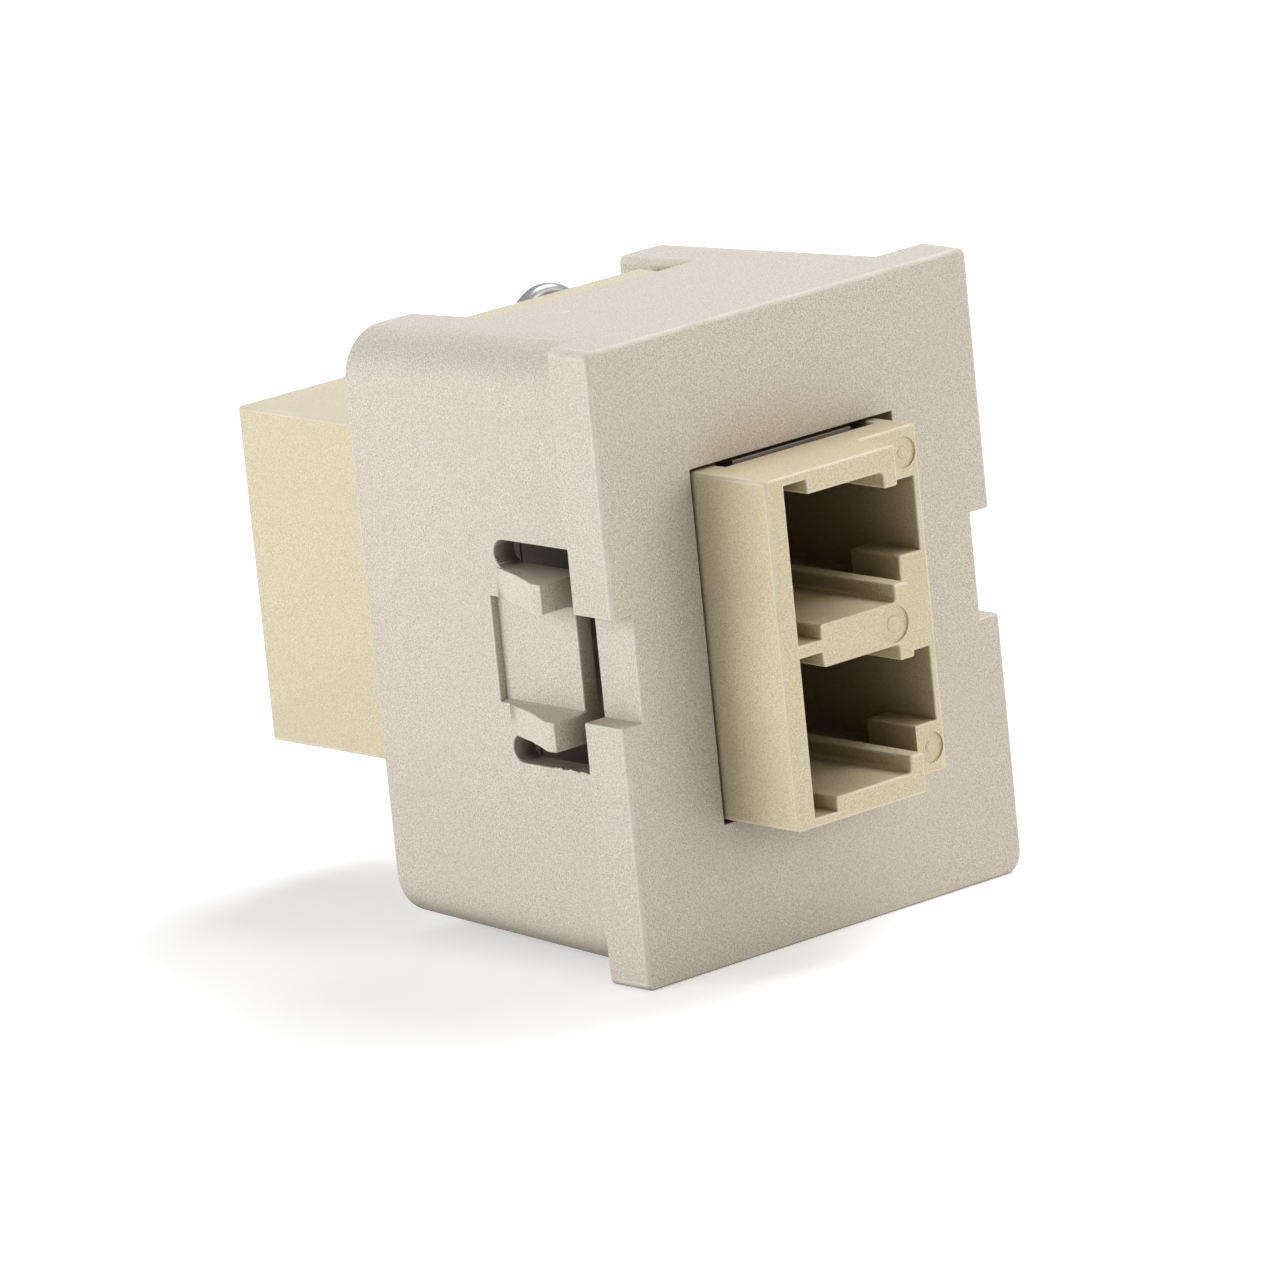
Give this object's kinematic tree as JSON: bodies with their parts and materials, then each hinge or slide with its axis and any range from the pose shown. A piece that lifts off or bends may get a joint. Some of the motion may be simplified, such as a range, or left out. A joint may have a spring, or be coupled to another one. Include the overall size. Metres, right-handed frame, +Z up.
{
  "type": "duplex fibre adapter module",
  "caption": "Snap-in outlet module: a bone plastic housing with side latches carrying a flanged beige duplex fibre adapter, ports stacked, for small ferrule plugs front and rear.",
  "frame": {"origin": "centre of the front plate's rear face, which seats on the panel", "axes": "X to the right seen from the front, +Y from the front plate to the rear ports, Z up"},
  "size_m": [0.0194, 0.0287, 0.0232],
  "materials": {
    "housing_plastic": "moulded, fine spark-eroded texture, bone",
    "adapter_plastic": "moulded, satin, beige",
    "sleeve_ceramic": "ground and polished, white",
    "spring_steel": "rolled strip",
    "plated_screw": "bright zinc plate"
  },
  "bodies": {
    "root": {"module_housing": "housing_plastic", "adapter_front_half": "adapter_plastic", "adapter_rear_half": "adapter_plastic", "upper_alignment_sleeve": "sleeve_ceramic", "lower_alignment_sleeve": "sleeve_ceramic", "retaining_clip": "spring_steel", "flange_screws": "plated_screw"}
  },
  "joints": []
}
